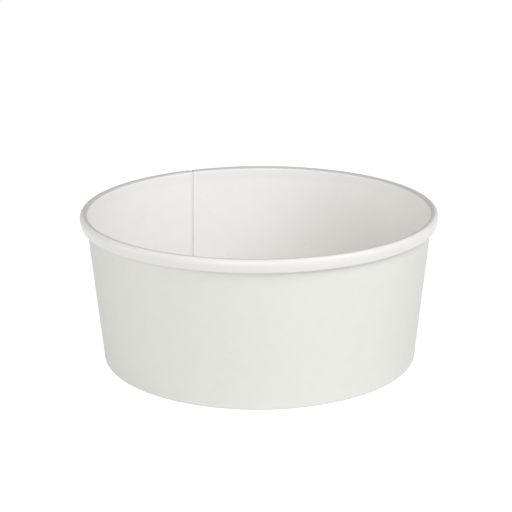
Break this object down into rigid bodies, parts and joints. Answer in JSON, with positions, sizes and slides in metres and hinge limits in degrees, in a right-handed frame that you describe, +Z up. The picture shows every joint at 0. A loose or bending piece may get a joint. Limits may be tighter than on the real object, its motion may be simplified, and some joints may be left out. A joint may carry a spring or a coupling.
{
  "type": "paper salad bowl",
  "caption": "Round board bowl with sloping sides, a rolled rim, a lapped side seam and a flat bottom disc sealed into a hemmed foot. Holds salad or soup.",
  "frame": {"origin": "centre of the foot, on the table", "axes": "+Z up along the bowl's axis, -Y towards the viewer of the picture, so the side seam is at the back, left of +Y"},
  "size_m": [0.15, 0.15, 0.0635],
  "materials": {
    "wall_board": "white uncoated outside, smooth polyethylene coating inside, satin",
    "base_board": "white board with a smooth polyethylene coating, satin"
  },
  "bodies": {
    "root": {"side_wall": "wall_board", "base": "base_board"}
  },
  "joints": []
}
